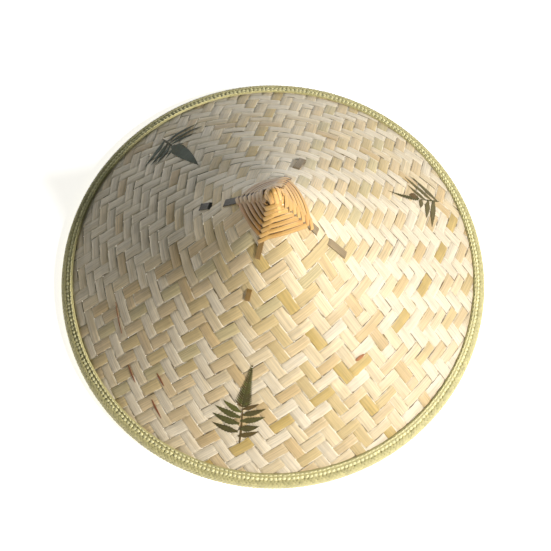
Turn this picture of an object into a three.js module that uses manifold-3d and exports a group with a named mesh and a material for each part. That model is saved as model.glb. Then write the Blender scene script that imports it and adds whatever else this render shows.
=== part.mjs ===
// A conical sun hat: a cone of flat splints with a bound edge, a wound cane cap on two crossed ribs,
// three pressed fern fronds, and a basket head ring inside. Millimetres, +Z up, brim resting on z = 0.
import * as THREE from 'three';
import { mergeVertices } from 'three/addons/utils/BufferGeometryUtils.js';
import Module from 'manifold-3d';

const wasm = await Module();
wasm.setup();

// Driving dimensions. Slant is a distance from the cone's point down its slope, and lift is a height
// above the cone's inner surface, square to it. Azimuths are degrees about +Z.
const APEX_Z = 176.4;
const COS_SLOPE = 0.75; // three right-angled sectors of flat weave close into a cone of this slope
const SIN_SLOPE = Math.sqrt(1 - COS_SLOPE ** 2);
const CLEAR = 0.3; // gap kept between neighbouring pieces
const RIM_STEPS = 60; // facets round the brim
const TIP = { rise: 33, reach: 80, bend: 1.4 }; // inside the reach, the tip is drawn up above the cone

const SPLINT = { thick: 0.8, crown: 12, edge: 262, sectors: 3, crossing: 2, tipSteps: 11 };
const OUTER_LAYER = SPLINT.thick + CLEAR;
const SHELL_TOP = OUTER_LAYER + SPLINT.thick;
const FIRST_RAY = -42.6; // azimuth of the first of the three rays where the splints turn

const RIB = { thick: 1, width: 6.5, azimuth: 23.6, capLift: 4.1, steps: 44 };
const RIB_SHOW = [55, 75, 90]; // slants: end of the bare leg, start and end of its lower window
const RIB_DIVE = 7; // slant that a leg takes to pass through the shell

const CAP = { corner: 37, turns: 8, steps: 24, under: SHELL_TOP + CLEAR, top: 6, peak: 10, groove: 0.8,
  round: 6 };

const HOOP = { outer: [[-8, 2.2], [-2.5, 2.2], [-2.5, 3.9], [-8, 3.9]],
  inner: [[-7, -2.3], [-0.5, -2.3], [-0.5, -0.3], [-7, -0.3]] };
const BRIM_FACE = { inner: 194, outer: 197.8 }; // radii of the flat ring that the hat stands on
const HAT_RADIUS = 200;

const RING = { radius: 92, uprights: 16, bottom: 46, top: 87, gap: 0.4 };
const RING_STEPS = { hoop: 48, weaver: 64 };
const HOOP_BAND = { thick: 2.2, tall: 6 };
const WEAVER = { thick: 1, tall: 7, bottoms: [54, 62.5, 71] };
const UPRIGHT = { thick: 1, width: 8 };

const FERN = { thick: 0.5, lift: SHELL_TOP + 2 * CLEAR };
const FERNS = [
  { name: 'fern_front', azimuth: -58.4, base: 221, length: 75, turn: -2, pinnae: 8, spread: 22, stem: 1.6 },
  { name: 'fern_right', azimuth: 65.8, base: 220, length: 64, turn: -17, pinnae: 6, spread: 27, stem: 1.2 },
  { name: 'fern_left', azimuth: 172.8, base: 216, length: 82, turn: -4, pinnae: 7, spread: 27, stem: 1.6 },
];

const rad = THREE.MathUtils.degToRad;
const mix = THREE.MathUtils.lerp;

// ---- places on the cone ----

// How far the tip stands above the cone at a radius.
const tipRise = (radius) => TIP.rise * Math.max(0, 1 - radius / TIP.reach) ** TIP.bend;

// The point at an azimuth, a slant and a lift.
function onCone(azimuth, slant, lift) {
  const radius = slant * COS_SLOPE + lift * SIN_SLOPE;
  const angle = rad(azimuth);
  const height = APEX_Z - slant * SIN_SLOPE + lift * COS_SLOPE + tipRise(radius);
  return new THREE.Vector3(radius * Math.cos(angle), radius * Math.sin(angle), height);
}

// The same place in a half plane through the axis, as (radius, height).
function section(slant, lift) {
  const point = onCone(0, slant, lift);
  return new THREE.Vector2(point.x, point.z);
}

// ---- shapes ----

// A box with its width, length and thickness, each from 0 to 1, bent into place by a function.
function bent(across, along, place) {
  const box = new THREE.BoxGeometry(1, 1, 1, across, along, 1);
  const spots = box.attributes.position;
  const spot = new THREE.Vector3();
  for (let i = 0; i < spots.count; i += 1) {
    spot.fromBufferAttribute(spots, i).addScalar(0.5);
    const point = place(spot.x, spot.y, spot.z);
    spots.setXYZ(i, point.x, point.y, point.z);
  }
  return box;
}

// A closed outline in (radius, height), turned round the Z axis.
function turned(outline, steps) {
  const points = THREE.ShapeUtils.area(outline) > 0 ? [...outline] : [...outline].reverse();
  points.push(points[0]);
  return new THREE.LatheGeometry(points, steps).rotateX(Math.PI / 2);
}

function band(inner, outer, bottom, top, steps) {
  const corners = [[inner, bottom], [outer, bottom], [outer, top], [inner, top]];
  return turned(corners.map(([r, z]) => new THREE.Vector2(r, z)), steps);
}

// A strip whose centre line lies in the XZ plane, square across Y.
function strip(line, thick, width) {
  const normals = line.map((p, i) => {
    const ahead = line[Math.min(i + 1, line.length - 1)];
    const behind = line[Math.max(i - 1, 0)];
    const along = ahead.clone().sub(behind).normalize();
    return new THREE.Vector2(-along.y, along.x);
  });
  const side = (sign) => line.map((p, i) => p.clone().addScaledVector(normals[i], sign * thick / 2));
  const shape = new THREE.Shape([...side(1), ...side(-1).reverse()]);
  const body = new THREE.ExtrudeGeometry(shape, { depth: width, bevelEnabled: false, steps: 1 });
  return body.translate(0, 0, -width / 2).rotateX(Math.PI / 2);
}

// ---- booleans ----

function solid(geometry) {
  const bare = geometry.index ? geometry.toNonIndexed() : geometry.clone();
  const names = Object.keys(bare.attributes).filter((name) => name !== 'position');
  names.forEach((name) => bare.deleteAttribute(name));
  const merged = mergeVertices(bare, 1e-4);
  return new wasm.Manifold(new wasm.Mesh({
    numProp: 3,
    vertProperties: merged.attributes.position.array,
    triVerts: new Uint32Array(merged.index.array),
  }));
}

function geometryOf(body) {
  const mesh = body.getMesh();
  const geometry = new THREE.BufferGeometry();
  geometry.setAttribute('position', new THREE.BufferAttribute(new Float32Array(mesh.vertProperties), 3));
  geometry.setIndex(Array.from(mesh.triVerts));
  geometry.computeVertexNormals();
  return geometry;
}

const cut = (geometry, cutters) => geometryOf(cutters.reduce((body, tool) => body.subtract(tool), solid(geometry)));
const join = (geometries) => geometryOf(geometries.map(solid).reduce((body, next) => body.add(next)));

// ---- the shell: three sets of splints ----

// Azimuths across one set's two sectors, with its middle ray at 0.
function setStations() {
  const reach = 360 / SPLINT.sectors - SPLINT.crossing;
  const step = 360 / RIM_STEPS;
  const stations = [-reach];
  for (let azimuth = -360 / SPLINT.sectors + step; azimuth < 360 / SPLINT.sectors; azimuth += step) {
    if (azimuth === 0) stations.push(-SPLINT.crossing, SPLINT.crossing);
    else stations.push(azimuth);
  }
  return [...stations, reach];
}

// Each set is the lower layer on one side of its ray and the upper layer on the other side.
function splintSet(ray) {
  const stations = setStations();
  const last = stations.length - 1;
  const tipSlant = TIP.reach / COS_SLOPE;
  return bent(last, SPLINT.tipSteps + 1, (across, along, up) => {
    const azimuth = stations[Math.round(across * last)];
    const rise = THREE.MathUtils.clamp((azimuth + SPLINT.crossing) / (2 * SPLINT.crossing), 0, 1);
    const lift = rise * OUTER_LAYER + up * SPLINT.thick;
    const step = Math.round(along * (SPLINT.tipSteps + 1));
    const slant = step === 0 ? SPLINT.edge : mix(tipSlant, SPLINT.crown, (step - 1) / SPLINT.tipSteps);
    return onCone(ray + azimuth, slant, lift);
  });
}

// ---- the ribs ----

// Half of a rib's centre line: over the point, under the cap's top turns, out at its corner, through the
// shell and back for the window, then inside and down into the head ring.
function ribLine(peak, shoulder) {
  const above = SHELL_TOP + CLEAR + RIB.thick / 2;
  const below = -CLEAR - RIB.thick / 2;
  const tip = APEX_Z + TIP.rise;
  const [bare, windowStart, windowEnd] = RIB_SHOW;
  const half = [
    ...shoulder.map(([x, z]) => new THREE.Vector2(x, tip + z)),
    section(14, RIB.capLift),
    section(CAP.corner, RIB.capLift),
    section(CAP.corner + 7, above),
    section(bare, above),
    section(bare + RIB_DIVE, below),
    section(windowStart - RIB_DIVE, below),
    section(windowStart, above),
    section(windowEnd, above),
    section(windowEnd + RIB_DIVE, below),
    section(114, below),
    new THREE.Vector2(RING.radius - 1.5, 94.6),
    new THREE.Vector2(RING.radius, 90),
    new THREE.Vector2(RING.radius, RING.bottom + 1),
  ];
  const right = new THREE.SplineCurve([new THREE.Vector2(0, tip + peak), ...half]);
  const points = right.getSpacedPoints(RIB.steps);
  const mirrored = points.slice(1).reverse().map((p) => new THREE.Vector2(-p.x, p.y));
  return [...mirrored, ...points];
}

const RIB_LINES = {
  rib_lower: { line: ribLine(1.2, [[4, -1.6], [8, -6.2]]), turn: 0 },
  rib_upper: { line: ribLine(3.4, [[4, 2.4], [8, -4.6]]), turn: 90 },
};

function rib(name, room = 0) {
  const { line, turn } = RIB_LINES[name];
  return strip(line, RIB.thick + 2 * room, RIB.width + 2 * room).rotateZ(rad(turn));
}

// ---- the cap ----

// A square wound round four legs on a cone: its sides are straight in the cone's flat pattern.
function capReach(azimuth) {
  const fromSide = THREE.MathUtils.euclideanModulo(azimuth, 90) - 45;
  return Math.cos(rad(45 * COS_SLOPE)) / Math.cos(rad(fromSide * COS_SLOPE));
}

function cap() {
  const turn = CAP.corner / CAP.turns;
  const outline = [[0, CAP.under], [CAP.round, CAP.under], [CAP.corner - turn / 2, CAP.under]]
    .map(([slant, lift]) => new THREE.Vector2(slant, lift));
  for (let i = CAP.turns; i > 0; i -= 1) {
    const top = mix(CAP.peak, CAP.top, Math.min(1, (i - 1) / 3));
    outline.push(new THREE.Vector2(i * turn - turn * 0.02, top - CAP.groove));
    outline.push(new THREE.Vector2(i * turn - turn / 2, top));
  }
  outline.push(new THREE.Vector2(0, CAP.peak));
  const body = new THREE.LatheGeometry(outline, CAP.steps);
  const spots = body.attributes.position;
  for (let i = 0; i < spots.count; i += 1) {
    const flat = Math.hypot(spots.getX(i), spots.getZ(i));
    const azimuth = THREE.MathUtils.radToDeg(Math.atan2(-spots.getZ(i), spots.getX(i)));
    const slant = flat * capReach(azimuth);
    const lift = spots.getY(i);
    const outward = lift * SIN_SLOPE * Math.min(1, flat / CAP.round);
    const radius = slant * COS_SLOPE + outward;
    const height = APEX_Z - slant * SIN_SLOPE + lift * COS_SLOPE + tipRise(radius);
    spots.setXYZ(i, radius * Math.cos(rad(azimuth)), radius * Math.sin(rad(azimuth)), height);
  }
  return cut(body, [solid(rib('rib_lower', CLEAR)), solid(rib('rib_upper', CLEAR))]);
}

// ---- the brim ----

const rimSection = ([slant, lift]) => section(SPLINT.edge + slant, lift);

// A braid folded over both hoops and the splints' cut ends, flat where the hat stands on it.
function binding() {
  const skin = [[-16, 3.5], [-10, 3.5], [-8.8, 5.3], [-2.6, 5.5]].map(rimSection);
  const round = [[HAT_RADIUS, 4.6], [199.4, 1.6], [BRIM_FACE.outer, 0], [BRIM_FACE.inner, 0]];
  const under = [[-2.2, -4], [-8.5, -4], [-10.5, -1.7], [-16, -1.5]].map(rimSection);
  const pocket = [[-16, -0.3], [-9, -0.3], [-8, -2.6], [0.2, -2.6], [0.4, 2.2], [-2, 4.2], [-8.5, 4.2],
    [-10, 2.2], [-16, 2.2]].map(rimSection);
  return turned([...skin, ...round.map(([r, z]) => new THREE.Vector2(r, z)), ...under, ...pocket], RIM_STEPS);
}

const rimRing = (corners) => turned(corners.map(rimSection), RIM_STEPS);

// A row of sewing thread, as the ring that its stitches fill.
function stitchRow(slant, lift) {
  return rimRing([[slant, lift], [slant + 1, lift], [slant + 1, lift + 0.6], [slant, lift + 0.6]]);
}

// ---- the head ring ----

function ringHoop(inside, bottom) {
  const near = RING.radius + (inside ? -1 : 1) * (UPRIGHT.thick / 2 + RING.gap);
  const far = near + (inside ? -1 : 1) * HOOP_BAND.thick;
  return band(Math.min(near, far), Math.max(near, far), bottom, bottom + HOOP_BAND.tall, RING_STEPS.hoop);
}

// A weaver passes in front of one upright and behind the next, all the way round.
function weaver(row) {
  const swing = UPRIGHT.thick / 2 + RING.gap + WEAVER.thick / 2;
  const bottom = WEAVER.bottoms[row];
  const outline = [[-1, 0], [1, 0], [1, 1], [-1, 1]];
  const body = turned(outline.map(([x, y]) => new THREE.Vector2(RING.radius + x * WEAVER.thick / 2,
    bottom + y * WEAVER.tall)), RING_STEPS.weaver);
  const spots = body.attributes.position;
  for (let i = 0; i < spots.count; i += 1) {
    const angle = Math.atan2(spots.getY(i), spots.getX(i));
    const wave = THREE.MathUtils.clamp(1.9 * Math.cos(angle * RING.uprights / 2), -1, 1);
    const radius = Math.hypot(spots.getX(i), spots.getY(i)) + (row % 2 ? 1 : -1) * swing * wave;
    spots.setXYZ(i, radius * Math.cos(angle), radius * Math.sin(angle), spots.getZ(i));
  }
  return body;
}

function upright(azimuth) {
  const body = new THREE.BoxGeometry(UPRIGHT.thick, UPRIGHT.width, RING.top - RING.bottom);
  return body.translate(RING.radius, 0, (RING.top + RING.bottom) / 2).rotateZ(rad(azimuth));
}

// ---- the ferns ----

// A frond lies on the shell: `ahead` runs from its base to its tip, and `aside` square to it.
function onFrond(fern, ahead, aside, lift) {
  const turn = rad(fern.turn);
  const x = fern.base - ahead * Math.cos(turn) - aside * Math.sin(turn);
  const y = aside * Math.cos(turn) - ahead * Math.sin(turn);
  const azimuth = THREE.MathUtils.radToDeg(Math.atan2(y, x)) / COS_SLOPE;
  return onCone(fern.azimuth + azimuth, Math.hypot(x, y), lift);
}

// A tapering blade from a point of the frond, in a direction measured from its stem.
function blade(fern, from, direction, length, width, steps) {
  const lean = rad(direction);
  return bent(1, steps, (across, along, up) => {
    const half = (across - 0.5) * width * (1 - 0.85 * along ** 2);
    const ahead = from + along * length * Math.cos(lean) - half * Math.sin(lean);
    const aside = along * length * Math.sin(lean) + half * Math.cos(lean);
    return onFrond(fern, ahead, aside, FERN.lift + up * FERN.thick);
  });
}

function frond(fern) {
  const blades = [blade(fern, 0, 0, fern.length, fern.stem, 2)];
  for (let i = 0; i < fern.pinnae; i += 1) {
    const share = (i + 0.6) / fern.pinnae;
    const length = fern.spread * (1 - share) ** 0.7 + 2;
    const width = 3.4 * (1 - 0.5 * share);
    for (const side of [-1, 1]) blades.push(blade(fern, share * fern.length, side * 48, length, width, 1));
  }
  return join(blades);
}

// ---- the hat ----

const finish = (color, roughness) => new THREE.MeshStandardMaterial({ color, roughness, metalness: 0 });
const MATERIALS = {
  splint: finish(0xe0cfa2, 0.5),
  binding: finish(0xc8be70, 0.7),
  thread: finish(0xe8e0a0, 0.6),
  cane: finish(0xd99a48, 0.5),
  rib: finish(0x7a5c38, 0.6),
  bamboo: finish(0xcfae70, 0.5),
  fern: finish(0x3c4a24, 0.8),
};

function add(group, name, geometry, material) {
  const mesh = new THREE.Mesh(geometry, MATERIALS[material]);
  mesh.name = name;
  group.add(mesh);
}

const hat = new THREE.Group();
hat.rotation.z = rad(FIRST_RAY);
const frame = new THREE.Group();
frame.rotation.z = rad(RIB.azimuth);
hat.add(frame);

const slots = Object.keys(RIB_LINES).map((name) => solid(rib(name, CLEAR).rotateZ(frame.rotation.z)));
['a', 'b', 'c'].forEach((letter, i) => {
  add(hat, `splint_set_${letter}`, cut(splintSet(i * 360 / SPLINT.sectors), slots), 'splint');
});

add(hat, 'rim_hoop_outer', rimRing(HOOP.outer), 'bamboo');
add(hat, 'rim_hoop_inner', rimRing(HOOP.inner), 'bamboo');
add(hat, 'edge_binding', binding(), 'binding');
add(hat, 'edge_stitching_outer', stitchRow(-11.2, 3.5 + CLEAR), 'thread');
add(hat, 'edge_stitching_inner', stitchRow(-14.8, 3.5 + CLEAR), 'thread');
FERNS.forEach((fern) => add(hat, fern.name, frond(fern), 'fern'));

Object.keys(RIB_LINES).forEach((name) => add(frame, name, rib(name), 'rib'));
add(frame, 'crown_cap', cap(), 'cane');

add(frame, 'ring_hoop_top_outer', ringHoop(false, RING.top - HOOP_BAND.tall), 'bamboo');
add(frame, 'ring_hoop_top_inner', ringHoop(true, RING.top - HOOP_BAND.tall), 'bamboo');
add(frame, 'ring_hoop_bottom_outer', ringHoop(false, RING.bottom), 'bamboo');
add(frame, 'ring_hoop_bottom_inner', ringHoop(true, RING.bottom), 'bamboo');
WEAVER.bottoms.forEach((bottom, row) => add(frame, `ring_weaver_${row + 1}`, weaver(row), 'splint'));

// Every fourth upright is the end of a rib.
for (let i = 0; i < RING.uprights; i += 1) {
  if (i % 4 !== 0) {
    const name = `ring_upright_${String(i).padStart(2, '0')}`;
    add(frame, name, upright(i * 360 / RING.uprights), 'bamboo');
  }
}

export default hat;
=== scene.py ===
import math

import bpy
import numpy as np
from mathutils import Matrix, Vector


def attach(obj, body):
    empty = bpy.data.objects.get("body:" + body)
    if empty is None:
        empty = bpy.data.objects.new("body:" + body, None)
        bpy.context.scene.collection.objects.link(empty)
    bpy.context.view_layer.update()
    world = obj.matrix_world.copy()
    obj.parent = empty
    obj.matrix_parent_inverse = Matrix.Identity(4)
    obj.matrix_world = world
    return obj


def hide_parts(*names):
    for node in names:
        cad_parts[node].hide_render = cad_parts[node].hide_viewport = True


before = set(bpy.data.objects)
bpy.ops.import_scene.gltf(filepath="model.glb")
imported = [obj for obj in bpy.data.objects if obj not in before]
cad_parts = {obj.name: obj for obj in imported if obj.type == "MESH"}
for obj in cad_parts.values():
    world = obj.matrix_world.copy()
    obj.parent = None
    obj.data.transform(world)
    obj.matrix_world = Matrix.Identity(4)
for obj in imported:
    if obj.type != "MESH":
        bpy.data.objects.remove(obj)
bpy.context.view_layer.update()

MM = 0.001
COS = 0.75  # of the cone's slope: three right-angled sectors of flat weave close into this cone
SIN = math.sqrt(1 - COS ** 2)
APEX_Z = 176.4
EDGE = 262.0  # slant of the rim
TIP = {"rise": 33.0, "reach": 80.0, "bend": 1.4}  # inside the reach, the tip is drawn up above the cone
RAYS = {"a": -42.6, "b": 77.4, "c": 197.4}  # azimuths where the splints of each set turn
LEGS = (-19.0, 71.0, 161.0, 251.0)  # azimuths of the ribs' four legs
MID = 0.95  # lift of the middle of the weave

# Cover is the share of its lane that a splint fills, swing is how far it goes up and down from the middle of
# the weave, and turn is half the length over which it does so.
SPLINT = {"width": 10.7, "cover": 0.972, "thick": 0.42, "count": 24, "swing": 0.37, "turn": 1.9, "crown": 0.2}
RIB = {"width": 6.4, "narrow": 0.68, "thick": 1.0, "above": 2.45, "inside": -0.9}
# For each leg: the slants where it goes in under the weave, comes out again, and goes in for good.
LEG_WAY = {-19.0: (49.0, 63.5, 84.0), 71.0: (46.0, 74.0, 100.0), 161.0: (55.5, 73.5, 86.5),
           251.0: (49.0, 75.5, 84.5)}
CAP = {"turns": 8, "leg_lift": 3.1, "face_lift": 2.6, "wrap_lift": 4.1, "thick": 1.0, "wrap_thick": 0.9,
       "wrap_reach": 4.5, "strap_azimuth": -64.0}
CORNERS = {-19.0: 40.5, 71.0: 38.5, 161.0: 38.5, 251.0: 34.0}  # how far down each leg the cap reaches
PLAIT = {"rows": 5, "row_width": 2.5, "pitch": 3.4, "radius": 198.0, "wide": 2.75, "thick": 1.15}
STITCH = {"count": 300, "length": 3.8, "thick": 1.0}
RING = {"radius": 92.0, "uprights": 16, "bottom": 46.0, "top": 87.0, "gap": 0.4, "hoop_tall": 6.0,
        "hoop_thick": 2.2, "weaver_tall": 7.0, "weaver_thick": 0.9, "weaver_bottoms": (54.0, 62.5, 71.0),
        "upright_wide": 8.0, "strip": 1.0}
FERN = {"lift": 0.95, "thick": 0.28}  # lift above the middle of the weave

LIGHT = {"sky": 0.095, "front": (1.0, 0.89, 0.66, 1), "back": (0.70, 0.97, 1.10, 1), "sun": 4.1,
         "sun_colour": (1.0, 0.985, 0.965), "sun_size": 9.0, "azimuth": -24.0, "elevation": 37.0}
FLOOR = {"size": 6.0, "grey": 0.92, "glow": 0.86, "glow_colour": (1, 0.975, 0.92, 1)}
# The camera's angle off the vertical and its roll are in radians, its place is in metres, and its lens in mm.
CAMERA = {"off": 0.3178, "roll": 0.0129, "away": 1.118, "right": 0.0023, "up": 0.0019, "lens": 77.4,
          "sensor": 36.0}

# Sections of strips, as points across and up, from about -1 to 1: along the upper side, then back underneath.
FLAT = np.array([(-.985, .45), (-.93, 1), (-.3, 1.12), (.3, 1.12), (.93, 1), (.985, .45),
                 (.985, -.45), (.93, -1), (.3, -1), (-.3, -1), (-.93, -1), (-.985, -.45)])
DOMED = np.array([(-1, -.1), (-.96, .5), (-.8, .88), (0, 1.05), (.8, .88), (.96, .5), (1, -.1),
                  (.9, -.8), (.55, -1), (0, -1), (-.55, -1), (-.9, -.8)])
LEAF = np.array([(-1, .3), (-.5, .9), (0, .5), (.5, .9), (1, .3),
                 (1, -.3), (.5, -1), (0, -1), (-.5, -1), (-1, -.3)])


def rounded(count):
    angle = math.pi - 2 * math.pi * (np.arange(count) + 0.5) / count
    return np.stack([np.cos(angle), np.sin(angle)], -1)


# ---- places ----

def section(slant, lift):
    """The radius and height of a place on the cone."""
    radius = slant * COS + lift * SIN
    tip = TIP["rise"] * np.maximum(0, 1 - radius / TIP["reach"]) ** TIP["bend"]
    return radius, APEX_Z - slant * SIN + lift * COS + tip


def on_cone(azimuth, slant, lift):
    radius, height = section(slant, lift)
    angle = np.radians(azimuth)
    return np.stack(np.broadcast_arrays(radius * np.cos(angle), radius * np.sin(angle), height), -1)


def unrolled(ray, x, y, lift):
    """A place in the cone's flat pattern, whose X axis lies along a ray."""
    return on_cone(ray + np.degrees(np.arctan2(y, x)) / COS, np.hypot(x, y), lift)


def smooth(value):
    value = np.clip(value, 0, 1)
    return value * value * (3 - 2 * value)


def unit(vectors):
    return vectors / np.maximum(np.linalg.norm(vectors, axis=-1, keepdims=True), 1e-9)


def curve(points, count):
    """Evenly spaced points of a smooth curve through the given ones."""
    points = np.asarray(points, float)
    ends = np.vstack([2 * points[0] - points[1], points, 2 * points[-1] - points[-2]])
    t = np.linspace(0, 1, 13)[:-1, None]
    spans = []
    for a, b, c, d in zip(ends, ends[1:], ends[2:], ends[3:]):
        spans.append(0.5 * (2 * b + (c - a) * t + (2 * a - 5 * b + 4 * c - d) * t ** 2
                            + (3 * b - a - 3 * c + d) * t ** 3))
    line = np.vstack([*spans, points[-1:]])
    reach = np.concatenate([[0], np.cumsum(np.linalg.norm(np.diff(line, axis=0), axis=1))])
    at = np.linspace(0, reach[-1], count)
    return np.stack([np.interp(at, reach, line[:, k]) for k in range(line.shape[1])], -1)


def steps_along(path, loop=False):
    if loop:
        return np.roll(path, -1, 0) - np.roll(path, 1, 0)
    return np.gradient(path, axis=0)


# ---- pieces ----

def link(item):
    bpy.context.scene.collection.objects.link(item)


class Piece:
    """Closed strips gathered into one mesh, with their fibre coordinates and tones."""

    def __init__(self):
        self.places, self.quads, self.fibres, self.tones, self.count = [], [], [], [], 0

    def add(self, rings, tone, seed, fibre=None, loop=False):
        """Rings of points, from one end of a strip to the other, in millimetres."""
        n, m = rings.shape[:2]
        index = np.arange(n * m).reshape(n, m)
        here, after = (index, np.roll(index, -1, 0)) if loop else (index[:-1], index[1:])
        sides = [np.stack([here, np.roll(here, -1, 1), np.roll(after, -1, 1), after], -1).reshape(-1, 4)]
        if not loop:
            i = np.arange(m // 2 - 1)
            cap = np.stack([i, m - 1 - i, m - 2 - i, i + 1], -1)
            sides += [cap, cap[:, ::-1] + (n - 1) * m]
        quads = np.vstack(sides)
        flat = rings.reshape(-1, 3)
        centre = flat.mean(0)
        a, b, c, d = (flat[quads[:, k]] - centre for k in range(4))
        volume = (np.einsum("ij,ij->i", a, np.cross(b, c)) + np.einsum("ij,ij->i", a, np.cross(c, d))).sum()
        if volume < 0:
            quads = quads[:, ::-1]
        if fibre is None:
            middle = rings.mean(1)
            along = np.concatenate([[0], np.cumsum(np.linalg.norm(np.diff(middle, axis=0), axis=1))])
            round_ = np.linalg.norm(np.diff(rings, axis=1, append=rings[:, :1]), axis=2)
            across = np.cumsum(round_, axis=1) - round_.sum(1, keepdims=True) / 4
            fibre = (np.broadcast_to(along[:, None], (n, m)), across)
        fibre = np.stack([*np.broadcast_arrays(*fibre), np.full((n, m), float(seed))], -1)
        self.places.append(flat * MM)
        self.quads.append(quads + self.count)
        self.fibres.append(fibre.reshape(-1, 3))
        colour = np.asarray(tone, float)
        if colour.shape[:-1] == (n,):
            colour = colour[:, None]
        self.tones.append(np.broadcast_to(colour, (n, m, 3)).reshape(-1, 3))
        self.count += n * m

    def make(self, name, material, slot, nodes, crease=38):
        places, quads = np.vstack(self.places), np.vstack(self.quads)
        mesh = bpy.data.meshes.new(name)
        mesh.vertices.add(len(places))
        mesh.vertices.foreach_set("co", places.astype(np.float32).ravel())
        mesh.loops.add(quads.size)
        mesh.loops.foreach_set("vertex_index", quads.astype(np.int32).ravel())
        mesh.polygons.add(len(quads))
        mesh.polygons.foreach_set("loop_start", np.arange(0, quads.size, 4, dtype=np.int32))
        mesh.update(calc_edges=True)
        mesh.attributes.new("fibre", "FLOAT_VECTOR", "POINT")
        mesh.attributes["fibre"].data.foreach_set("vector", np.vstack(self.fibres).astype(np.float32).ravel())
        tones = np.hstack([np.vstack(self.tones), np.ones((self.count, 1))])
        mesh.attributes.new("tone", "FLOAT_COLOR", "POINT")
        mesh.attributes["tone"].data.foreach_set("color", tones.astype(np.float32).ravel())
        mesh.shade_smooth()
        mesh.set_sharp_from_angle(angle=math.radians(crease))
        mesh.materials.append(material)
        piece = bpy.data.objects.new(name, mesh)
        link(piece)
        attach(piece, "root")
        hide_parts(*nodes)


def ribbon(ray, line, lift, half, thick, shape=FLAT, tilt=0.0, crown=0.0):
    """Rings of a strip that follows a line of the flat pattern; the crown is how far its middle stands up."""
    aside = unit(steps_along(line)) @ np.array([[0, 1], [-1, 0]])
    lift, half, thick, tilt = (np.broadcast_to(v, len(line))[:, None] for v in (lift, half, thick, tilt))
    across = shape[:, 0] * half
    x = line[:, :1] + aside[:, :1] * across
    y = line[:, 1:] + aside[:, 1:] * across
    bow = tilt * shape[:, 0] - crown * (shape[:, 0] ** 2 - 0.5)
    return unrolled(ray, x, y, lift + bow + shape[:, 1] * thick / 2)


def sweep(path, facing, wide, thick, shape=FLAT, loop=False):
    """Rings of a strip that follows a path in space, its face turned towards `facing`."""
    ahead = unit(steps_along(path, loop))
    side = unit(np.cross(ahead, np.broadcast_to(facing, path.shape)))
    up = np.cross(side, ahead)
    wide, thick = (np.broadcast_to(v, len(path))[:, None, None] for v in (wide, thick))
    return (path[:, None] + side[:, None] * shape[None, :, :1] * wide / 2
            + up[:, None] * shape[None, :, 1:] * thick / 2)


# ---- materials ----

def srgb(red, green, blue):
    values = np.array([red, green, blue], float)
    return np.where(values <= 0.04045, values / 12.92, ((values + 0.055) / 1.055) ** 2.4)


# Painted highlight and painted shade for the lines along the splints' edges.
EDGE_HIGHLIGHT, EDGE_SHADE = srgb(.97, .93, .84), srgb(.38, .29, .14)
PALE, CREAM, SKY_REFLECTION_TINT = srgb(.90, .84, .73), srgb(.88, .80, .65), srgb(.89, .82, .70)
TAN, OCHRE, OLIVE = srgb(.82, .71, .52), srgb(.77, .66, .40), srgb(.73, .67, .45)
BARK, BARK_DARK = srgb(.66, .42, .22), srgb(.55, .31, .15)
BRAID, BRAID_DARK, THREAD = srgb(.82, .78, .55), srgb(.66, .62, .41), srgb(.91, .88, .67)
CANE, CANE_DARK = srgb(.92, .73, .42), srgb(.76, .53, .25)
DARK_LEG, BROWN_LEG, PALE_LEG = srgb(.22, .20, .15), srgb(.58, .45, .23), srgb(.58, .50, .37)
BAMBOO = srgb(.84, .72, .48)
LEAF_DARK, LEAF_GREEN, LEAF_BROWN = srgb(.30, .28, .11), srgb(.38, .38, .15), srgb(.38, .29, .12)
DRY_LEAF, FRESH_LEAF = srgb(.40, .36, .20), srgb(.25, .31, .23)


class Shader:
    """A material whose nodes are added one by one."""

    def __init__(self, name, **constants):
        self.material = bpy.data.materials.new(name)
        self.material.use_nodes = True
        self.tree = self.material.node_tree
        self.surface = self.tree.nodes["Principled BSDF"]
        for key, value in constants.items():
            self.surface.inputs[key.replace("_", " ")].default_value = value

    def node(self, kind, inputs=(), **settings):
        node = self.tree.nodes.new("ShaderNode" + kind)
        for key, value in settings.items():
            setattr(node, key, value)
        for key, value in dict(inputs).items():
            if isinstance(value, bpy.types.NodeSocket):
                self.tree.links.new(value, node.inputs[key])
            else:
                node.inputs[key].default_value = value
        return node

    def attribute(self, name, output):
        return self.node("Attribute", attribute_name=name).outputs[output]

    def maths(self, operation, *values):
        return self.node("Math", dict(enumerate(values)), operation=operation).outputs[0]

    def scaled(self, vector, scale):
        return self.node("VectorMath", {0: vector, 1: scale}, operation="MULTIPLY").outputs[0]

    def noise(self, vector, scale=1.0, detail=3.0, rough=0.55):
        return self.node("TexNoise", {"Vector": vector, "Scale": scale, "Detail": detail,
                                      "Roughness": rough}).outputs["Fac"]

    def span(self, value, low, high, to_low, to_high):
        return self.node("MapRange", {"Value": value, "From Min": low, "From Max": high,
                                      "To Min": to_low, "To Max": to_high}).outputs[0]

    def times(self, colour, factor):
        """A colour made lighter or darker by a factor."""
        return self.node("VectorMath", {0: colour, "Scale": factor}, operation="SCALE").outputs[0]

    def blend(self, factor, first, second):
        mixer = self.node("Mix", data_type="RGBA")
        sockets = (mixer.inputs[0], mixer.inputs[6], mixer.inputs[7])
        for socket, value in zip(sockets, (factor, first, second)):
            if isinstance(value, bpy.types.NodeSocket):
                self.tree.links.new(value, socket)
            else:
                socket.default_value = value if isinstance(value, float) else (*value, 1.0)
        return mixer.outputs[2]

    def finish(self, colour, roughness, height, relief):
        """Relief is the height of the bump in millimetres."""
        bump = self.node("Bump", {"Height": height, "Distance": relief * MM, "Strength": 1.0})
        for key, socket in (("Base Color", colour), ("Roughness", roughness), ("Normal", bump.outputs[0])):
            self.tree.links.new(socket, self.surface.inputs[key])
        return self.material


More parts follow.
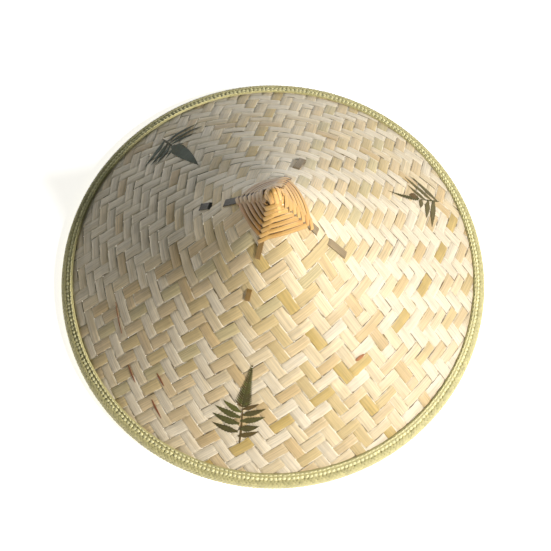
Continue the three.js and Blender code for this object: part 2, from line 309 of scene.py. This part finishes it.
def plant(name, grain=(0.02, 1.1), contrast=0.16, stain=None, stain_share=0.5, half=0.0, relief=0.10,
          rough=(0.38, 0.62), **constants):
    """Split bamboo, cane or leaf: streaks along the fibre over each strip's tone; `half` adds painted highlight and
    shade lines at the edges.
    """
    shader = Shader(name, **constants)
    fibre = shader.attribute("fibre", "Vector")
    tone = shader.attribute("tone", "Color")
    streak = shader.noise(shader.scaled(fibre, (grain[0], grain[1], 3.7)), detail=4.0)
    fine = shader.noise(shader.scaled(fibre, (grain[0] * 3, grain[1] * 5, 5.1)), detail=5.0, rough=0.65)
    patch = shader.noise(shader.scaled(fibre, (0.045, 0.16, 2.3)), detail=2.0)
    colour = tone
    if stain is not None:
        amount = shader.span(patch, 0.5, 0.75, 0.0, stain_share)
        colour = shader.blend(amount, tone, stain)
    light = shader.span(streak, 0.3, 0.7, 1 - contrast, 1 + contrast * 0.8)
    light = shader.maths("MULTIPLY", light, shader.span(fine, 0.3, 0.7, 1 - contrast * 0.6, 1 + contrast * 0.5))
    colour = shader.times(colour, light)
    # Painted highlights and painted shade along the strip's edges.
    if half:
        colour = painted_edge_light(shader, fibre, colour, half)
    roughness = shader.span(shader.maths("ADD", fine, patch), 0.7, 1.3, rough[0], rough[1])
    height = shader.maths("ADD", fine, shader.maths("MULTIPLY", streak, 0.8))
    return shader.finish(colour, roughness, height, relief)


def painted_edge_light(shader, fibre, colour, half):
    """Painted shade lines and painted highlight lines that come and go along a splint's two edges."""
    across = shader.node("SeparateXYZ", {0: fibre}).outputs[1]
    side = shader.maths("MULTIPLY", shader.maths("SIGN", across), 9.0)
    offset = shader.node("CombineXYZ", {1: side}).outputs[0]
    where = shader.node("VectorMath", {0: shader.scaled(fibre, (0.055, 0.0, 3.1)), 1: offset},
                        operation="ADD").outputs[0]
    near = shader.maths("ABSOLUTE", across)
    # Painted shade in the gaps along the edges.
    dark = shader.span(shader.noise(where, detail=2.0), 0.53, 0.60, 0.0, 0.85)
    dark = shader.maths("MULTIPLY", dark, shader.span(near, half - 0.7, half - 0.3, 0.0, 1.0))
    # Painted highlights where the edges catch the sun.
    pale = shader.span(shader.noise(where, 1.7, detail=1.0), 0.53, 0.46, 0.0, 0.8)
    pale = shader.maths("MULTIPLY", pale, shader.span(near, half - 0.75, half - 0.5, 0.0, 1.0))
    colour = shader.blend(pale, colour, EDGE_HIGHLIGHT)
    return shader.blend(dark, colour, EDGE_SHADE)


SPLINT_SKIN = plant("splint_skin", contrast=0.22, stain=srgb(.80, .70, .50), stain_share=0.35, relief=0.08,
                    half=SPLINT["width"] * SPLINT["cover"] / 2, Sheen_Weight=0.15, Specular_IOR_Level=0.45)
BRAID_SKIN = plant("braid_straw", grain=(0.06, 2.2), contrast=0.16, stain=srgb(.66, .65, .42), relief=0.08,
                   rough=(0.45, 0.7), Sheen_Weight=0.2)
THREAD_SKIN = plant("sewing_thread", grain=(0.4, 2.0), contrast=0.15, relief=0.06, rough=(0.4, 0.6))
CANE_SKIN = plant("cane_peel", grain=(0.03, 1.6), contrast=0.2, stain=srgb(.80, .50, .20), relief=0.10,
                  rough=(0.3, 0.5), Coat_Weight=0.15)
RIB_SKIN = plant("rib_wood", grain=(0.03, 1.4), contrast=0.28, relief=0.14, rough=(0.45, 0.7))
BAMBOO_SKIN = plant("split_bamboo", grain=(0.015, 0.9), contrast=0.14, stain=srgb(.72, .60, .34), relief=0.08)
LEAF_SKIN = plant("pressed_leaf", grain=(0.5, 0.5), contrast=0.25, stain=srgb(.40, .33, .15), relief=0.12,
                  rough=(0.55, 0.8))

# ---- the weave ----

def lies_over(strip, cell):
    """Two over, two under, with a step of one from each splint to the next."""
    if cell >= 0:
        return (strip - cell) % 4 < 2
    return (-cell - 1 - strip) % 4 >= 2


def splint_tones(letter, rng):
    """The colour of each splint: the sets differ, partly by painted sheen, some splints stand out, and one side is
    a little cooler, a painted sky reflection.
    """
    # The sets' shares differ partly in the splints' own colour and partly by painted sheen that depends on which
    # way their fibres run.
    shares = {"a": (.40, .38, .16, .04, .02), "b": (.54, .32, .11, .02, .01), "c": (.50, .38, .09, .02, .01)}
    palette = np.array([PALE, CREAM, TAN, OCHRE, OLIVE])
    tones = palette[rng.choice(5, SPLINT["count"], p=shares[letter])]
    fixed = {"a": {0: TAN, 1: OLIVE, 2: TAN, 3: OCHRE, 4: TAN, 5: OCHRE, 6: OLIVE, 7: OCHRE, 8: TAN, 10: TAN,
                   17: TAN, 19: OCHRE, 20: TAN},
             "b": {}, "c": {5: OCHRE, 6: OCHRE}}
    for strip, tone in fixed[letter].items():
        tones[strip] = tone * 0.6 + CREAM * 0.4
    # Painted reflection of the cool sky on set c's outer splints.
    if letter == "c":
        tones[11:] = tones[11:] * 0.75 + SKY_REFLECTION_TINT * 0.25
    return tones


# A knot and slivers of bark, as (azimuth, slant) of their two ends and a width.
MARKS = {"a": [((-53.5, 160.5), (-49.0, 160.5), 3.6)], "b": [],
         "c": [((226.5, 193.0), (231.0, 198.0), 1.9), ((230.0, 217.5), (235.5, 227.0), 1.9),
               ((217.0, 211.0), (222.5, 217.0), 1.9), ((196.5, 193.0), (207.5, 199.0), 1.0)]}


def splint_set(letter):
    """Splints side by side in lanes of the flat pattern; a cell is the width of one that crosses them."""
    ray = RAYS[letter]
    rng = np.random.default_rng(ord(letter))
    piece = Piece()
    width, reach, turn = SPLINT["width"], EDGE - 3.0, SPLINT["turn"]
    spots = np.array([-turn, -0.6, 0.6, turn, 3.6, width / 2, width - 3.6])
    tones = splint_tones(letter, rng)
    for strip in range(SPLINT["count"]):
        x = (strip + 0.5) * width
        end = math.sqrt(reach ** 2 - x ** 2)
        first = math.floor(-end / width)
        borders = np.arange(first, -first + 1)
        y = (borders[:, None] * width + spots).ravel()
        y = np.concatenate([[-end], y[(y > -end + 0.5) & (y < end - 0.5)], [end]])
        cells = {cell: lies_over(strip, cell) for cell in range(first - 2, -first + 3)}
        tilts = {cell: rng.normal(0, 0.11) for cell in cells}
        shades = {cell: rng.normal(1, 0.035) for cell in cells}
        border = np.round(y / width).astype(int)
        below = np.array([cells[k - 1] for k in border], float)
        above = np.array([cells[k] for k in border], float)
        offset = y - border * width
        way = smooth(offset / (2 * turn) + 0.5)
        over = below + (above - below) * way
        floating = below * above * (1 - np.abs(offset) * 2 / width)
        phase = rng.uniform(0, 6.28, 4)  # of the slow waves in its height, its line and its width
        bow = 0.16 + 0.08 * np.sin(y / 9.1 + phase[0]) + 0.06 * np.sin(y / 23 + phase[1])
        lift = MID + SPLINT["swing"] * (2 * over - 1) + bow * over * (0.45 + 0.55 * floating)
        tilt, shade = (np.array([values[k - 1] for k in border]) * (1 - way)
                       + np.array([values[k] for k in border]) * way for values in (tilts, shades))
        line = np.stack([x + 0.14 * np.sin(y / 31 + phase[2]), y], -1)
        half = width * SPLINT["cover"] / 2 * (1 + 0.012 * np.sin(y / 17 + phase[3]))
        rings = ribbon(ray, line, lift, half, SPLINT["thick"], tilt=tilt, crown=SPLINT["crown"])
        fibre = (y[:, None] + 300, -FLAT[:, 0] * half[:, None])
        piece.add(rings, tones[strip] * shade[:, None], rng.uniform(0, 90), fibre)
    for start, stop, wide in MARKS[letter]:
        line = curve([start, stop], 7)
        swell = np.sin(np.linspace(0.12, 0.94, 7) * math.pi)
        path = on_cone(line[:, 0], line[:, 1], MID + 1.0)
        facing = on_cone(line[:, 0], line[:, 1], MID + 2.0) - path
        piece.add(sweep(path, facing, wide * swell, 0.3), BARK if wide > 2 else BARK_DARK, 5.0)
    piece.make(f"splints_{letter}", SPLINT_SKIN, "splint", [f"splint_set_{letter}"])


# ---- the ribs ----

def rib_half(leg, peak, shoulder):
    """The (radius, height) way of one leg, from the point, in and out of the weave, and down to the head ring."""
    above, inside, corner = RIB["above"], RIB["inside"], CORNERS[leg]
    into, out, away = LEG_WAY[leg]
    stations = [(14, CAP["leg_lift"]), (corner - 1, CAP["leg_lift"]), (into - 3, above), (into - 1, above),
                (into + 3, inside), (into + 5, inside), (out - 5, inside), (out - 3, inside), (out + 1, above),
                (out + 3, above), (away - 3, above), (away - 1, above), (away + 3, inside), (away + 6, inside)]
    tip = APEX_Z + TIP["rise"]
    line = [(0, tip + peak), *((x, tip + z) for x, z in shoulder)]
    line += [section(slant, lift) for slant, lift in stations]
    radius = RING["radius"]
    return line + [(radius - 1.5, 94.6), (radius, 90), (radius, RING["bottom"] + 1)]


def rib(name, legs, peak, shoulder, tones, narrow=1.0):
    """A splint bent over the point into two legs; `narrow` is the second leg's share of the width."""
    piece = Piece()
    right, left = (rib_half(leg, peak, shoulder) for leg in legs)
    flat = curve([(-x, z) for x, z in left[:0:-1]] + right, 420)
    angle = math.radians(legs[0])
    path = np.stack([flat[:, 0] * math.cos(angle), flat[:, 0] * math.sin(angle), flat[:, 1]], -1)
    normal = np.array([-math.sin(angle), math.cos(angle), 0])
    facing = np.cross(unit(steps_along(path)), normal)
    share = smooth((flat[:, :1] + 20) / 40)
    tone = tones[1] + (tones[0] - tones[1]) * share
    wide = RIB["width"] * (narrow + (1 - narrow) * share[:, 0])
    inside = smooth((60 - np.abs(flat[:, 1:] - 60)) / 10) * (flat[:, 1:] < 100)
    tone = tone + (BAMBOO - tone) * inside
    piece.add(sweep(path, -facing, wide, RIB["thick"]), tone, 3.0)
    piece.make(name, RIB_SKIN, "rib", [name.replace("leg_", "rib_")])


# ---- the cap ----

# How dark a strand of cane is at each point of its section: painted shade darkens and browns its edges, where the
# gaps between strands lie in shadow, and its underside.
CANE_EDGE_SHADE = np.array([.14, .40, 1, 1.06, 1, .40, .14, .14, .14, .14, .14, .14])[:, None] ** (0.9, 1.1, 1.3)
# How dark the cane is on each face and leg, counted from the first leg: the second and third faces and legs, turned
# away from the sun, are darkened by painted shade; the others keep the cane's own tone.
FACE_TONE_AND_SHADE = (0.82, np.array([.55, .52, .44]), np.array([.50, .44, .31]), 0.86)
LEG_TONE_AND_SHADE = (0.84, 0.74, 0.62, 0.84)


def cane(rng, dark=0.3):
    tone = CANE * rng.normal(1, 0.05) + (CANE_DARK - CANE) * rng.uniform(0, dark)
    # Painted shade on the strand's edges and underside comes with its tone.
    return tone * CANE_EDGE_SHADE


def cap():
    """Cane peel wound round the four legs: low strands across the faces, and a raised wrap on each leg."""
    rng = np.random.default_rng(5)
    faces, wraps = Piece(), Piece()
    lean = math.radians(45 * COS)
    over = np.array([-1, -.92, -.8, -.6, 0, .6, .8, .92, 1])
    bow = np.linspace(-1, 1, 15)
    for turn in range(1, CAP["turns"]):
        share = (turn + 0.5) / CAP["turns"]
        up = max(0.0, 1 - turn / 3)  # the innermost turns stand higher
        for k, leg in enumerate(LEGS):
            near, far = CORNERS[leg], CORNERS[LEGS[(k + 1) % 4]]
            start = np.array([math.cos(lean), -math.sin(lean)]) * near * share
            stop = np.array([math.cos(lean), math.sin(lean)]) * far * share
            length = np.linalg.norm(stop - start)
            trim = (stop - start) / length * min(3.3, length * 0.3)
            line = curve([start + trim, (start + stop) / 2 + rng.normal(0, .08), stop - trim], 15)
            lift = CAP["face_lift"] + 3.7 * up + (1.2 - up) * bow ** 2 + rng.normal(0, 0.04)
            half = np.linspace(near, far, 15) / CAP["turns"] * math.cos(lean) * 0.46
            # Painted shade on the faces turned away from the sun.
            tone = cane(rng) * FACE_TONE_AND_SHADE[k]
            faces.add(ribbon(leg + 45, line, lift, half, CAP["thick"], DOMED), tone, rng.uniform(0, 90))
            shift = near / CAP["turns"] * 0.3 + rng.normal(0, 0.08)
            line = start + np.stack([shift - 0.75 * over, over * CAP["wrap_reach"] + rng.normal(0, 0.1)], -1)
            lift = CAP["wrap_lift"] + 2.3 * up - 1.1 * np.abs(over) ** 6
            rings = ribbon(leg + 45, line, lift, half[0] * 0.94, CAP["wrap_thick"], DOMED)
            # Painted shade on the legs turned away from the sun.
            wraps.add(rings, cane(rng) * LEG_TONE_AND_SHADE[k], rng.uniform(0, 90))
    for aside, reach in ((-3.9, 6.6), (3.9, 6.6), (0.0, 12.0)):
        wraps.add(peak_strap(aside, reach), cane(rng, 0.15), aside + 20)
    faces.add(peak_coil(), cane(rng, 0.2), 7.0)
    faces.make("cap_faces", CANE_SKIN, "cane", ["crown_cap"])
    wraps.make("cap_wraps", CANE_SKIN, "cane", ["crown_cap"])


def dome(distance):
    """The height of the small dome at the point."""
    return np.interp(distance, [0, 2, 4, 6, 8, 11, 13], [215.4, 214.9, 213.1, 209.2, 204.6, 198.9, 195.6])


def peak_coil():
    """A strand wound round the point, under the straps."""
    turn = np.linspace(0, 2 * math.pi * 3, 100)
    radius = np.interp(turn, [0, turn[-1]], [11.5, 0.8])
    path = np.stack([radius * np.cos(turn), radius * np.sin(turn), dome(radius) - 1.1], -1)
    facing = np.stack([np.cos(turn), np.sin(turn), np.interp(radius, [0, 5], [3.0, 0.5])], -1)
    return sweep(path, facing, 5.2, 0.9, DOMED)


def peak_strap(aside, reach):
    """A strand laid over the point, draped on a small dome."""
    line = curve([(-reach, aside), (0, aside), (reach, aside)], 19)
    across = DOMED[:, 0] * 1.85
    along, beside = line[:, :1] + 0 * across, line[:, 1:] + across
    ends = np.abs(np.linspace(-1, 1, 19))[:, None] ** 16
    height = dome(np.hypot(along, beside)) + DOMED[:, 1] * 0.6 - 1.6 * ends
    angle = math.radians(CAP["strap_azimuth"])
    x = along * math.cos(angle) - beside * math.sin(angle)
    y = along * math.sin(angle) + beside * math.cos(angle)
    return np.stack([x, y, height], -1)


# ---- the bound edge ----

def rim_point(slant, lift):
    """A place in (radius, height), by its slant from the rim."""
    return section(EDGE + slant, lift)


# The braid's outer line, in (radius, height), from its top inner edge, round the rim, to the inside.
ROLL = [rim_point(-8.4, 2.9), rim_point(-7.4, 3.9), rim_point(-5.4, 4.3), rim_point(-3.0, 4.1), (197.8, 5.4),
        (198.2, 3.0), (196.8, 0.75), (194.0, 0.7), rim_point(-4.5, -3.4), rim_point(-8.2, -3.2),
        rim_point(-10.2, -1.5)]


def turned(profile, count, wave=0.0):
    """Rings of a closed profile in (radius, height), turned round the axis."""
    angle = np.linspace(0, 2 * math.pi, count + 1)[:-1, None]
    radius, height = np.asarray(profile).T[:, None]
    radius = radius + wave * (np.sin(angle * 7) + 0.6 * np.sin(angle * 16 + 1)) * np.ones_like(radius)
    return np.stack(np.broadcast_arrays(radius * np.cos(angle), radius * np.sin(angle), height), -1)


def rim_frame(count):
    """The braid's surface: points along its outer line, and the way out of it."""
    line = curve(ROLL, count)
    ahead = unit(steps_along(line))
    return line, np.stack([-ahead[:, 1], ahead[:, 0]], -1)


def plait(piece, rows, rng):
    """Short strands that slant one way in one row and the other way in the next."""
    line, outward = rim_frame(200)
    reach = np.concatenate([[0], np.cumsum(np.linalg.norm(np.diff(line, axis=0), axis=1))])
    row_width, pitch, radius = PLAIT["row_width"], PLAIT["pitch"], PLAIT["radius"]
    count = round(2 * math.pi * radius / pitch)
    shape = rounded(6)
    share = np.array([-0.72, -0.5, 0, 0.5, 0.72])
    swell = np.array([0.35, 0.85, 1, 0.85, 0.35])
    for row in rows:
        slope = 1 if row % 2 else -1
        for k in range(count):
            along = (k + 0.5 * (row % 2)) * pitch + slope * share * row_width * 0.95 + rng.normal(0, 0.12)
            t = (row + 0.5 + share) * row_width + rng.normal(0, 0.08)
            spot = np.stack([np.interp(t, reach, line[:, 0]), np.interp(t, reach, line[:, 1])], -1)
            out = np.stack([np.interp(t, reach, outward[:, 0]), np.interp(t, reach, outward[:, 1])], -1)
            spot = spot + out * (0.25 * swell[:, None] - 0.2 + rng.normal(0, 0.04))
            angle = along / radius
            path = np.stack([spot[:, 0] * np.cos(angle), spot[:, 0] * np.sin(angle), spot[:, 1]], -1)
            facing = np.stack([out[:, 0] * np.cos(angle), out[:, 0] * np.sin(angle), out[:, 1]], -1)
            rings = sweep(path, facing, PLAIT["wide"] * swell, PLAIT["thick"] * swell, shape)
            rings[..., 2] = np.maximum(rings[..., 2], 0)  # the brim stands on the ground
            # Every row but row 3 may be darkened at random; row 3 stays light as a painted highlight where the sun
            # catches the roll's crest.
            shade = BRAID + (BRAID_DARK - BRAID) * rng.uniform(0, 0.3) * (row != 3)
            piece.add(rings, shade * rng.normal(1.0, 0.06), rng.uniform(0, 90))


def stitches(name, slant, lift, size, node, seed):
    """A row of short humps of thread round the rim."""
    rng = np.random.default_rng(seed)
    piece = Piece()
    radius, height = rim_point(slant, lift)
    spread = np.linspace(-0.5, 0.5, 6) * STITCH["length"] / radius
    hump = np.array([-0.55, -0.05, 0.2, 0.2, -0.05, -0.55])
    swell = np.array([0.5, 0.95, 1, 1, 0.95, 0.5])
    for k in range(STITCH["count"]):
        angle = 2 * math.pi * k / STITCH["count"] + spread + rng.normal(0, 0.0012)
        side = rng.normal(0, 0.15) + np.linspace(-0.25, 0.25, 6)
        r = radius + hump * SIN + side * COS
        z = height + hump * COS - side * SIN
        path = np.stack([r * np.cos(angle), r * np.sin(angle), z], -1)
        facing = np.stack([SIN * np.cos(angle), SIN * np.sin(angle), np.full(6, COS)], -1)
        piece.add(sweep(path, facing, size * swell, STITCH["thick"] * swell, rounded(8)),
                  THREAD * rng.normal(1, 0.06), k)
    piece.make(name, THREAD_SKIN, "thread", [node])


def bound_edge():
    """A folded core with a lip, two faces of plait on it, the two hoops in its pocket and two rows of stitches."""
    rng = np.random.default_rng(11)
    lip = [rim_point(*p) for p in ((-14.9, 1.9), (-14.8, 2.7), (-14.3, 3.2), (-13.4, 3.4), (-12.6, 3.2),
                                   (-12.1, 3.2), (-11.4, 3.4), (-8.8, 3.5))]
    line, outward = rim_frame(40)
    inner = line - outward * 0.65
    inner[:, 1] = np.maximum(inner[:, 1], 0)
    lining = [rim_point(*p) for p in ((-12.0, -1.7), (-14.6, -1.6), (-15.0, -0.6), (-14.6, -0.3))]
    pocket = [rim_point(*p) for p in ((-9, -.3), (-8, -2.3), (-0.3, -2.5), (-0.3, 1.4), (-2.6, 3.2), (-8.2, 3.2),
                                      (-9.6, 1.9), (-14.6, 1.9))]
    core = Piece()
    rings = turned([*lip, *inner, *lining, *pocket], 420, 0.06)
    core.add(rings, BRAID_DARK * 0.4 + BRAID * 0.6, 1.0, loop=True)
    core.make("edge_core", BRAID_SKIN, "braid", ["edge_binding"], crease=50)
    for side, name in enumerate(("braid_top", "braid_under")):
        braid = Piece()
        plait(braid, range(side * PLAIT["rows"], (side + 1) * PLAIT["rows"]), rng)
        braid.make(name, BRAID_SKIN, "braid", ["edge_binding"])
    for name, corners in (("hoop_outer", ((-8, 2.1), (-3, 2.1), (-3, 3.0), (-8, 3.0))),
                          ("hoop_inner", ((-7, -2.2), (-0.8, -2.2), (-0.8, -0.4), (-7, -0.4)))):
        hoop = Piece()
        hoop.add(turned([rim_point(*c) for c in corners], 180), BAMBOO, 7.0, loop=True)
        hoop.make(name, BAMBOO_SKIN, "bamboo", ["rim_" + name])
    stitches("stitches_outer", -10.0, 3.7, 2.8, "edge_stitching_outer", 21)
    stitches("stitches_inner", -13.7, 3.6, 1.3, "edge_stitching_inner", 22)


# ---- the head ring ----

def circle(radius, height, count, wave=0.0):
    """A level circle, or one that goes in and out of the uprights, and the way out of it."""
    angle = np.linspace(0, 2 * math.pi, count + 1)[:-1]
    swing = np.clip(1.9 * np.cos((angle - math.radians(LEGS[0])) * RING["uprights"] / 2), -1, 1)
    r = radius + wave * swing
    path = np.stack([r * np.cos(angle), r * np.sin(angle), np.full(count, height)], -1)
    return path, np.stack([np.cos(angle), np.sin(angle), np.zeros(count)], -1)


def head_ring():
    """Uprights between pairs of hoops, with weavers round them; the ribs' ends are the other four uprights."""
    rng = np.random.default_rng(31)
    near = RING["strip"] / 2 + RING["gap"] + RING["hoop_thick"] / 2
    levels = {"top": RING["top"] - RING["hoop_tall"] / 2, "bottom": RING["bottom"] + RING["hoop_tall"] / 2}
    for level, height in levels.items():
        for side, sign in (("outer", 1), ("inner", -1)):
            piece = Piece()
            path, facing = circle(RING["radius"] + sign * near, height, 120)
            piece.add(sweep(path, facing * sign, RING["hoop_tall"], RING["hoop_thick"], DOMED, loop=True),
                      BAMBOO * rng.normal(1, 0.05), rng.uniform(0, 90), loop=True)
            piece.make(f"head_hoop_{level}_{side}", BAMBOO_SKIN, "bamboo", [f"ring_hoop_{level}_{side}"])
    swing = RING["strip"] + RING["gap"]
    for row, bottom in enumerate(RING["weaver_bottoms"]):
        piece = Piece()
        path, facing = circle(RING["radius"], bottom + RING["weaver_tall"] / 2, 192,
                              swing * (1 if row % 2 else -1))
        piece.add(sweep(path, facing, RING["weaver_tall"], RING["weaver_thick"], FLAT, loop=True),
                  CREAM * rng.normal(1, 0.04), rng.uniform(0, 90), loop=True)
        piece.make(f"head_weaver_{row + 1}", BAMBOO_SKIN, "weaver", [f"ring_weaver_{row + 1}"])
    uprights, nodes = Piece(), []
    for k in range(RING["uprights"]):
        if k % 4:
            angle = math.radians(LEGS[0] + k * 360 / RING["uprights"])
            out = np.array([math.cos(angle), math.sin(angle), 0.0])
            path = out * RING["radius"] + np.linspace((0, 0, RING["bottom"]), (0, 0, RING["top"]), 9)
            uprights.add(sweep(path, out, RING["upright_wide"], RING["strip"], FLAT),
                         BAMBOO * rng.normal(1, 0.06), rng.uniform(0, 90))
            nodes.append(f"ring_upright_{k:02d}")
    uprights.make("head_uprights", BAMBOO_SKIN, "bamboo", nodes)


# ---- the ferns ----

class Frond:
    """A pressed frond on the shell; `ahead` runs from its base to its tip, and `aside` square to it."""

    def __init__(self, name, azimuth, base, turn, seed):
        self.name, self.azimuth, self.base, self.turn = name, azimuth, base, math.radians(turn)
        self.rng = np.random.default_rng(seed)
        self.piece = Piece()
        self.layer = 0

    def leaf(self, start, angle, length, width, bend=0.0, teeth=8, depth=0.22, fat=0.35, tone=None):
        """A leaflet from a point of the stem, its edge cut into teeth; `fat` is where it is widest."""
        count = 2 * teeth + 3
        share = np.linspace(0, 1, count)
        way = np.radians(angle + bend * (share - 0.35))
        step = np.stack([np.cos(way), np.sin(way)], -1) * length / (count - 1)
        spots = np.array(start) + np.concatenate([[(0, 0)], np.cumsum(step[:-1], axis=0)])
        outline = np.where(share < fat, 0.35 + 0.65 * smooth(share / fat), (1 - ((share - fat) / (1 - fat)) ** 1.7))
        half = width * 0.62 * np.maximum(outline, 0.04) * (1 - depth * (np.arange(count) % 2))
        ahead = np.array([-math.cos(self.turn), math.sin(self.turn)])
        aside = np.array([-math.sin(self.turn), -math.cos(self.turn)])
        line = np.array([self.base, 0]) + spots[:, :1] * ahead + spots[:, 1:] * aside
        self.layer += 1
        lift = MID + FERN["lift"] + 0.05 * (self.layer % 5) + 0.05 * np.sin(share * 9 + self.layer)
        if tone is None:
            mix = self.rng.uniform(0, 1)
            tone = LEAF_DARK * (1 - mix) + (LEAF_GREEN if self.rng.random() < 0.7 else LEAF_BROWN) * mix
        rings = ribbon(self.azimuth, line, lift, half, FERN["thick"], LEAF)
        self.piece.add(rings, tone, self.rng.uniform(0, 90))

    def pinnae(self, begin, end, count, length, width, angle, stem_side=0.0):
        """Pairs of small leaflets that get shorter towards the tip."""
        for k in range(count):
            share = k / count
            at = begin + (end - begin) * share
            for side in (-1, 1):
                self.leaf((at, stem_side * (1 - share)), side * (angle - 12 * share), length * (1 - share) + 1.0,
                          width * (1 - 0.35 * share), bend=-side * 14, teeth=2, depth=0.2, fat=0.3)

    def make(self):
        self.piece.make("pressed_" + self.name, LEAF_SKIN, "fern", [self.name], crease=60)


def front_fern():
    frond = Frond("fern_front", -99.9, 216.6, 1.6, 41)
    frond.leaf((-3, -1.2), 4, 40, 1.5, bend=6, teeth=6, depth=0.05, fat=0.2, tone=LEAF_BROWN)
    frond.leaf((34, 1.8), -3, 42, 2.2, teeth=8, depth=0.1, fat=0.1, tone=LEAF_DARK)
    for at, angle, length, width in ((8.5, 84, 24, 5.4), (16.6, 82, 25, 5.8), (23, 78, 24.5, 5.4),
                                     (28.3, 68, 19, 4.8)):
        frond.leaf((at, 2), angle, length, width, bend=-22)
    for at, angle, length, width in ((4.2, -66, 19, 4.6), (11.6, -72, 17.5, 5.6), (19.6, -70, 21.5, 5.2),
                                     (25.5, -64, 22, 4.6), (31.3, -60, 15, 3.6)):
        frond.leaf((at, 1.2), angle, length, width, bend=18)
    frond.pinnae(33.5, 76, 19, 8.6, 1.75, 52, stem_side=1.8)
    frond.make()


def right_fern():
    frond = Frond("fern_right", 23.5, 220.8, 17.0, 42)
    frond.leaf((-2, -0.5), 10, 30, 1.3, bend=-4, teeth=4, depth=0.05, fat=0.2, tone=LEAF_DARK)
    frond.leaf((26, 4), 6, 40, 4.2, bend=-22, teeth=12, depth=0.4, fat=0.1, tone=LEAF_DARK)
    frond.leaf((27, 2.4), 4, 12, 6.0, teeth=4, depth=0.3, tone=LEAF_BROWN)
    for at, side, angle, length, width in ((0.5, -0.5, -38, 32, 4.1), (8, 0.8, -34, 34, 4.3),
                                           (17, 3.2, -30, 22, 4.0)):
        frond.leaf((at, side), angle, length, width, bend=-14, teeth=10, depth=0.12, tone=DRY_LEAF)
    for at, side, angle, length, width in ((5, 0.8, 68, 33, 5.4), (13.5, 3.4, 66, 22, 5.2), (23, 4.4, 66, 11, 4.6)):
        frond.leaf((at, side), angle, length, width, bend=10, teeth=8, depth=0.12, tone=DRY_LEAF)
    frond.make()


def left_fern():
    frond = Frond("fern_left", 130.2, 216.5, 3.7, 43)
    frond.leaf((-1, -0.3), 2, 34, 1.8, teeth=4, depth=0.05, fat=0.2, tone=LEAF_DARK)
    frond.leaf((22, 0.8), 2, 61, 10.8, bend=-4, teeth=18, depth=0.06, fat=0.2, tone=FRESH_LEAF)
    for at, angle, length, width in ((8, 92, 34, 3.0), (14, 86, 35, 3.5), (18.5, 80, 26, 3.2), (24, 58, 11, 2.6)):
        frond.leaf((at, 0.6), angle, length, width, bend=-26, teeth=12, depth=0.08, tone=FRESH_LEAF)
    for at, angle, length, width in ((3.5, -58, 35, 4.6), (12, -58, 29, 4.6), (19, -58, 26, 3.8),
                                     (25.5, -50, 14, 2.6)):
        frond.leaf((at, -0.6), angle, length, width, bend=-24, teeth=12, depth=0.16, tone=FRESH_LEAF)
    frond.make()


# ---- the surroundings ----

def floor_material():
    shader = Shader("pale_floor", Specular_IOR_Level=0.1, Emission_Color=FLOOR["glow_colour"],
                    Emission_Strength=FLOOR["glow"])
    where = shader.node("TexCoord").outputs["Object"]
    tint = shader.span(shader.noise(where, 6.0), 0.3, 0.7, 0.97, 1.0)
    colour = shader.times((FLOOR["grey"],) * 3, tint)
    rough = shader.span(shader.noise(where, 40.0), 0.3, 0.7, 0.7, 0.85)
    return shader.finish(colour, rough, shader.noise(where, 90.0), 0.02)


def add_floor():
    mesh = bpy.data.meshes.new("floor")
    size = FLOOR["size"]
    mesh.from_pydata([(-size, -size, 0), (size, -size, 0), (size, size, 0), (-size, size, 0)], [], [(0, 1, 2, 3)])
    mesh.materials.append(floor_material())
    floor = bpy.data.objects.new("floor", mesh)
    link(floor)


def add_sky():
    """A dim even light, warm from the front and cool from the back."""
    world = bpy.data.worlds.new("studio")
    bpy.context.scene.world = world
    world.use_nodes = True
    nodes, links = world.node_tree.nodes, world.node_tree.links
    where, parts = nodes.new("ShaderNodeTexCoord"), nodes.new("ShaderNodeSeparateXYZ")
    share, mixer = nodes.new("ShaderNodeMapRange"), nodes.new("ShaderNodeMix")
    share.inputs["From Min"].default_value, share.inputs["From Max"].default_value = -0.7, 0.7
    mixer.data_type = "RGBA"
    mixer.inputs[6].default_value, mixer.inputs[7].default_value = LIGHT["front"], LIGHT["back"]
    for output, socket in ((where.outputs["Generated"], parts.inputs[0]), (parts.outputs[1], share.inputs[0]),
                           (share.outputs[0], mixer.inputs[0]),
                           (mixer.outputs[2], nodes["Background"].inputs["Color"])):
        links.new(output, socket)
    nodes["Background"].inputs["Strength"].default_value = LIGHT["sky"]


def add_sun():
    sun = bpy.data.lights.new("key", "SUN")
    sun.energy, sun.angle, sun.color = LIGHT["sun"], math.radians(LIGHT["sun_size"]), LIGHT["sun_colour"]
    key = bpy.data.objects.new("key", sun)
    azimuth, elevation = math.radians(LIGHT["azimuth"]), math.radians(LIGHT["elevation"])
    towards = Vector((math.cos(azimuth) * math.cos(elevation), math.sin(azimuth) * math.cos(elevation),
                      math.sin(elevation)))
    key.rotation_euler = towards.to_track_quat("Z", "Y").to_euler()
    link(key)


def add_camera():
    off, roll = CAMERA["off"], CAMERA["roll"]
    back, right = Vector((0, -math.sin(off), math.cos(off))), Vector((1, 0, 0))
    up = back.cross(right)
    axes = (right * math.cos(roll) + up * math.sin(roll), up * math.cos(roll) - right * math.sin(roll), back)
    place = back * CAMERA["away"] + axes[0] * CAMERA["right"] + axes[1] * CAMERA["up"]
    data = bpy.data.cameras.new("camera")
    data.lens, data.sensor_width = CAMERA["lens"], CAMERA["sensor"]
    camera = bpy.data.objects.new("camera", data)
    camera.matrix_world = Matrix.Translation(place) @ Matrix(axes).transposed().to_4x4()
    link(camera)
    bpy.context.scene.camera = camera
    bpy.context.scene.view_settings.view_transform = "Standard"


for letter in RAYS:
    splint_set(letter)
rib("leg_lower", (LEGS[0], LEGS[2]), 0.4, [(4, -0.6), (8, -8.6)], (PALE_LEG, DARK_LEG))
rib("leg_upper", (LEGS[1], LEGS[3]), 2.0, [(4, 0.7), (8, -8.0)], (PALE_LEG * 0.8, BROWN_LEG), RIB["narrow"])
cap()
bound_edge()
head_ring()
front_fern()
right_fern()
left_fern()
add_floor()
add_sky()
add_sun()
add_camera()
